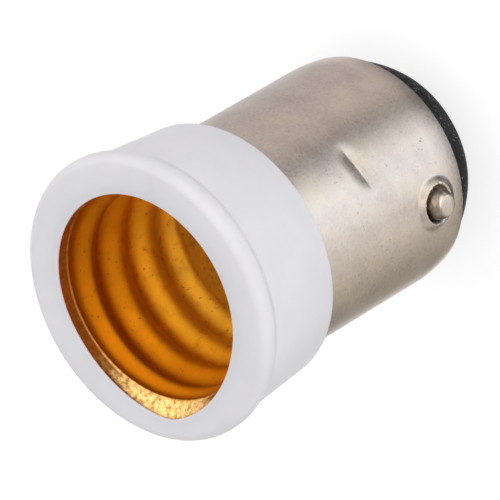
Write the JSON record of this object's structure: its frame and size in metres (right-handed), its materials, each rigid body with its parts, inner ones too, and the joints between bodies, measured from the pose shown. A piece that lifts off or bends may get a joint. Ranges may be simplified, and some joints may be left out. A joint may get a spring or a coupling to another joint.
{
  "type": "bulb socket adapter",
  "caption": "Lamp adapter with a small two-pin bayonet cap at one end and a small screw socket in a white collar at the other.",
  "frame": {"origin": "on the axis, at the level of the two base contacts that it stands on", "axes": "+Z along the axis from the base contacts to the socket's mouth; the bayonet pins lie along Y and the base contacts along X"},
  "size_m": [0.0188, 0.0188, 0.0254],
  "materials": {
    "nickel_shell": "satin nickel plate over drawn brass, warm grey, lightly pitted",
    "nickel_pin": "nickel-plated turned pin, slightly brighter than the shell",
    "black_phenolic": "moulded black phenolic, satin",
    "white_moulding": "cool white moulded plastic, soft sheen",
    "brass_shell": "bare rolled brass, amber, a little tarnished",
    "spring_brass": "bare spring brass strip",
    "brass_hardware": "bare brass, bright",
    "tin_solder": "dull bright solder",
    "copper_wire": "bare copper wire",
    "lead_sleeve": "off-white insulating sleeve"
  },
  "bodies": {
    "root": {"bayonet_shell": "nickel_shell", "bayonet_pin_a": "nickel_pin", "bayonet_pin_b": "nickel_pin", "base_insulator": "black_phenolic", "socket_body": "white_moulding", "screw_shell": "brass_shell", "contact_rivet": "brass_hardware", "shell_base_contact": "brass_hardware", "centre_base_contact": "brass_hardware", "shell_base_solder": "tin_solder", "centre_base_solder": "tin_solder", "shell_lead_joint": "tin_solder", "centre_lead_joint": "tin_solder", "shell_lead_wire": "copper_wire", "centre_lead_wire": "copper_wire", "shell_lead_sleeve": "lead_sleeve", "centre_lead_sleeve": "lead_sleeve"},
    "centre_contact": {"centre_contact": "spring_brass"}
  },
  "joints": [
    {"name": "centre_contact_press", "type": "hinge", "parent": "root", "child": "centre_contact", "pos_m": [-0.0019, 0, 0.01285], "axis": [0, 1, 0], "range_deg": [0, 10], "stiffness_Nm_per_rad": 0.06, "deforming": ["centre_contact"]}
  ]
}
